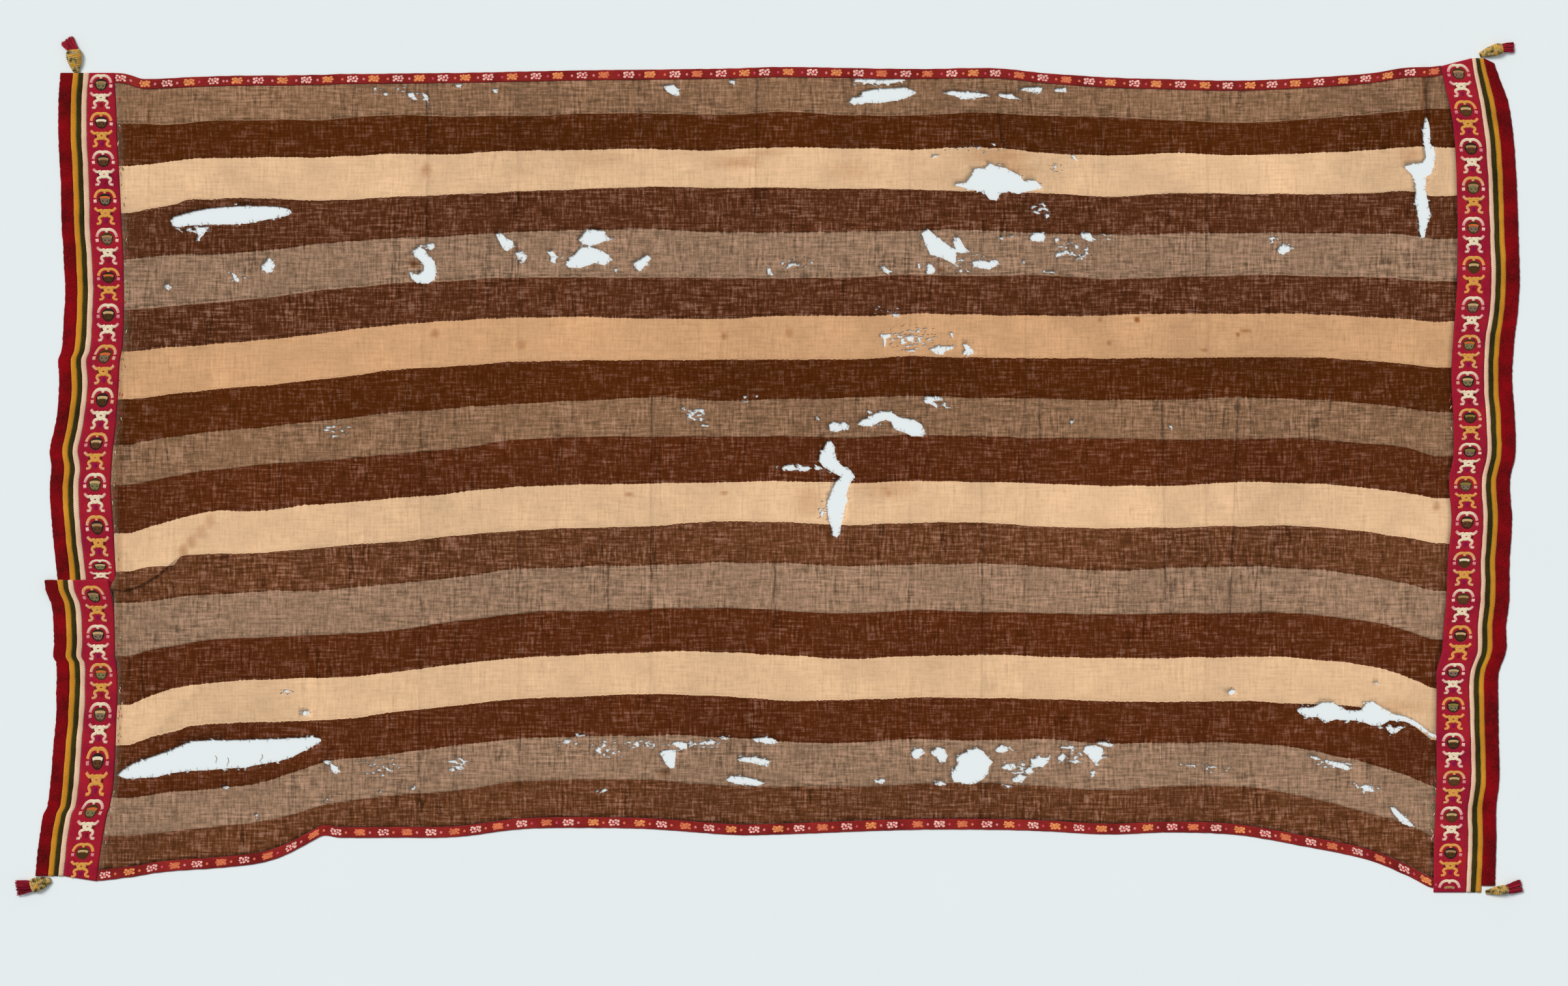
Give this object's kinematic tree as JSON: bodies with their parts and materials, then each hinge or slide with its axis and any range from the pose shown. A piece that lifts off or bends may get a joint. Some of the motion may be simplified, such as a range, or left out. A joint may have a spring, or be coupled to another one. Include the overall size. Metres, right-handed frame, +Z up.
{
  "type": "woven mantle",
  "caption": "Flat rectangular woven wrap: a worn striped ground cloth with taped long edges, a figured border along each end and a small tassel at each corner.",
  "frame": {"origin": "on the supporting surface, under the middle of the whole", "axes": "+X along the long side, from the folded border to the plain one; +Y to the upper long edge; +Z up, out of the cloth's face"},
  "size_m": [2.3157, 1.32, 0.011],
  "materials": {
    "ground": "thin striped plain weave in tan, dark brown and cream wool",
    "tape": "narrow red wool tape with small motifs",
    "band": "crimson wool band with woven figures",
    "white_stripe": "corded off-white yarn",
    "dark_stripe": "dark brown yarn",
    "yellow_stripe": "corded ochre yellow yarn",
    "edging": "dense deep red wool with crosswise ribs",
    "tassel_head": "wrapped ochre and olive yarn",
    "tassel_tuft": "cut red wool yarn"
  },
  "bodies": {
    "root": {"ground_cloth": "ground", "top_tape": "tape", "bottom_tape": "tape", "left_figured_band": "band", "right_figured_band": "band", "left_white_stripe": "white_stripe", "right_white_stripe": "white_stripe", "left_dark_stripe": "dark_stripe", "right_dark_stripe": "dark_stripe", "left_yellow_stripe": "yellow_stripe", "right_yellow_stripe": "yellow_stripe", "left_red_edging": "edging", "right_red_edging": "edging", "tassel_head_top_left": "tassel_head", "tassel_head_top_right": "tassel_head", "tassel_head_bottom_left": "tassel_head", "tassel_head_bottom_right": "tassel_head", "tassel_tuft_top_left": "tassel_tuft", "tassel_tuft_top_right": "tassel_tuft", "tassel_tuft_bottom_left": "tassel_tuft", "tassel_tuft_bottom_right": "tassel_tuft"}
  },
  "joints": []
}
